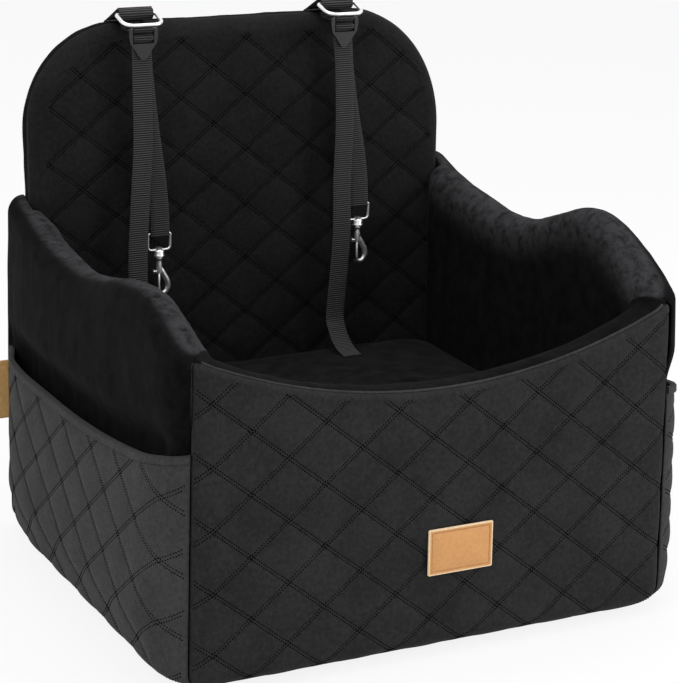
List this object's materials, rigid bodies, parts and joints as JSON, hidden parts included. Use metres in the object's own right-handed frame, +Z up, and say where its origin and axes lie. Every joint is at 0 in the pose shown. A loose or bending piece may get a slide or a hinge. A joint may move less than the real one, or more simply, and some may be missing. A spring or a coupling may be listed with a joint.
{
  "type": "dog car seat",
  "caption": "Soft booster seat for a small dog: padded box with wavy walls, tall quilted back, loose cushion, side pockets, and tethers with swivel snap hooks.",
  "frame": {"origin": "middle of the flat underside", "axes": "+X to the seat's right seen from its front, -Y out of the front, +Z up"},
  "size_m": [0.619, 0.5409, 0.5969],
  "materials": {
    "black_plush": "short plush pile",
    "charcoal_velvet": "quilted velvet",
    "grey_foam": "open-cell foam, matt",
    "black_webbing": "ribbed polyester webbing",
    "plated_zinc": "bright plated zinc",
    "tan_leatherette": "smooth leatherette",
    "black_acetal": "moulded acetal",
    "anti_slip_cloth": "dotted anti-slip cloth"
  },
  "bodies": {
    "seat": {"back_cover": "black_plush", "back_foam": "grey_foam", "back_quilt_panel": "charcoal_velvet", "base_foam": "grey_foam", "base_sheet": "anti_slip_cloth", "cloth_floor": "black_plush", "cushion_zip": "black_acetal", "front_quilt_panel": "charcoal_velvet", "front_wall_cover": "black_plush", "front_wall_foam": "grey_foam", "leather_patch": "tan_leatherette", "left_pocket": "charcoal_velvet", "left_pocket_hem": "charcoal_velvet", "left_tether_tab": "black_webbing", "left_top_strap": "black_webbing", "left_wall_cover": "black_plush", "left_wall_foam": "grey_foam", "right_pocket": "charcoal_velvet", "right_pocket_hem": "charcoal_velvet", "right_tether_tab": "black_webbing", "right_top_strap": "black_webbing", "right_wall_cover": "black_plush", "right_wall_foam": "grey_foam", "seat_cushion_cover": "black_plush", "seat_cushion_foam": "grey_foam", "side_tag": "tan_leatherette"},
    "left_ring": {"left_d_ring": "plated_zinc"},
    "left_tether": {"left_ladder_lock": "black_acetal", "left_tether_strap": "black_webbing"},
    "left_eye": {"left_hook_eye": "plated_zinc"},
    "left_hook": {"left_hook_body": "plated_zinc"},
    "left_bolt": {"left_hook_bolt": "plated_zinc"},
    "right_ring": {"right_d_ring": "plated_zinc"},
    "right_tether": {"right_ladder_lock": "black_acetal", "right_tether_strap": "black_webbing"},
    "right_eye": {"right_hook_eye": "plated_zinc"},
    "right_hook": {"right_hook_body": "plated_zinc"},
    "right_bolt": {"right_hook_bolt": "plated_zinc"}
  },
  "joints": [
    {"name": "left_ring_hinge", "type": "hinge", "parent": "seat", "child": "left_ring", "pos_m": [-0.1375, 0.21628, 0.59], "axis": [-1, 0, 0], "range_deg": [0, 60]},
    {"name": "left_tether_swing", "type": "hinge", "parent": "seat", "child": "left_tether", "pos_m": [-0.1375, 0.195, 0.5765], "axis": [-1, 0, 0], "range_deg": [0, 70]},
    {"name": "left_hook_swing", "type": "hinge", "parent": "left_tether", "child": "left_eye", "pos_m": [-0.1152, 0.20277, 0.343], "axis": [-1, 0, 0], "range_deg": [0, 80]},
    {"name": "left_hook_swivel", "type": "hinge", "parent": "left_eye", "child": "left_hook", "pos_m": [-0.1152, 0.20277, 0.31595], "axis": [0, 0, 1], "continuous": true},
    {"name": "left_bolt_slide", "type": "slide", "parent": "left_hook", "child": "left_bolt", "axis": [0, 0, 1], "range_m": [0, 0.007], "stiffness_N_per_m": 60},
    {"name": "right_ring_hinge", "type": "hinge", "parent": "seat", "child": "right_ring", "pos_m": [0.1085, 0.21628, 0.59], "axis": [-1, 0, 0], "range_deg": [0, 60]},
    {"name": "right_tether_swing", "type": "hinge", "parent": "seat", "child": "right_tether", "pos_m": [0.1085, 0.195, 0.5765], "axis": [-1, 0, 0], "range_deg": [0, 70]},
    {"name": "right_hook_swing", "type": "hinge", "parent": "right_tether", "child": "right_eye", "pos_m": [0.1363, 0.20277, 0.356], "axis": [-1, 0, 0], "range_deg": [0, 80]},
    {"name": "right_hook_swivel", "type": "hinge", "parent": "right_eye", "child": "right_hook", "pos_m": [0.1363, 0.20277, 0.32895], "axis": [0, 0, 1], "continuous": true},
    {"name": "right_bolt_slide", "type": "slide", "parent": "right_hook", "child": "right_bolt", "axis": [0, 0, 1], "range_m": [0, 0.007], "stiffness_N_per_m": 60}
  ]
}
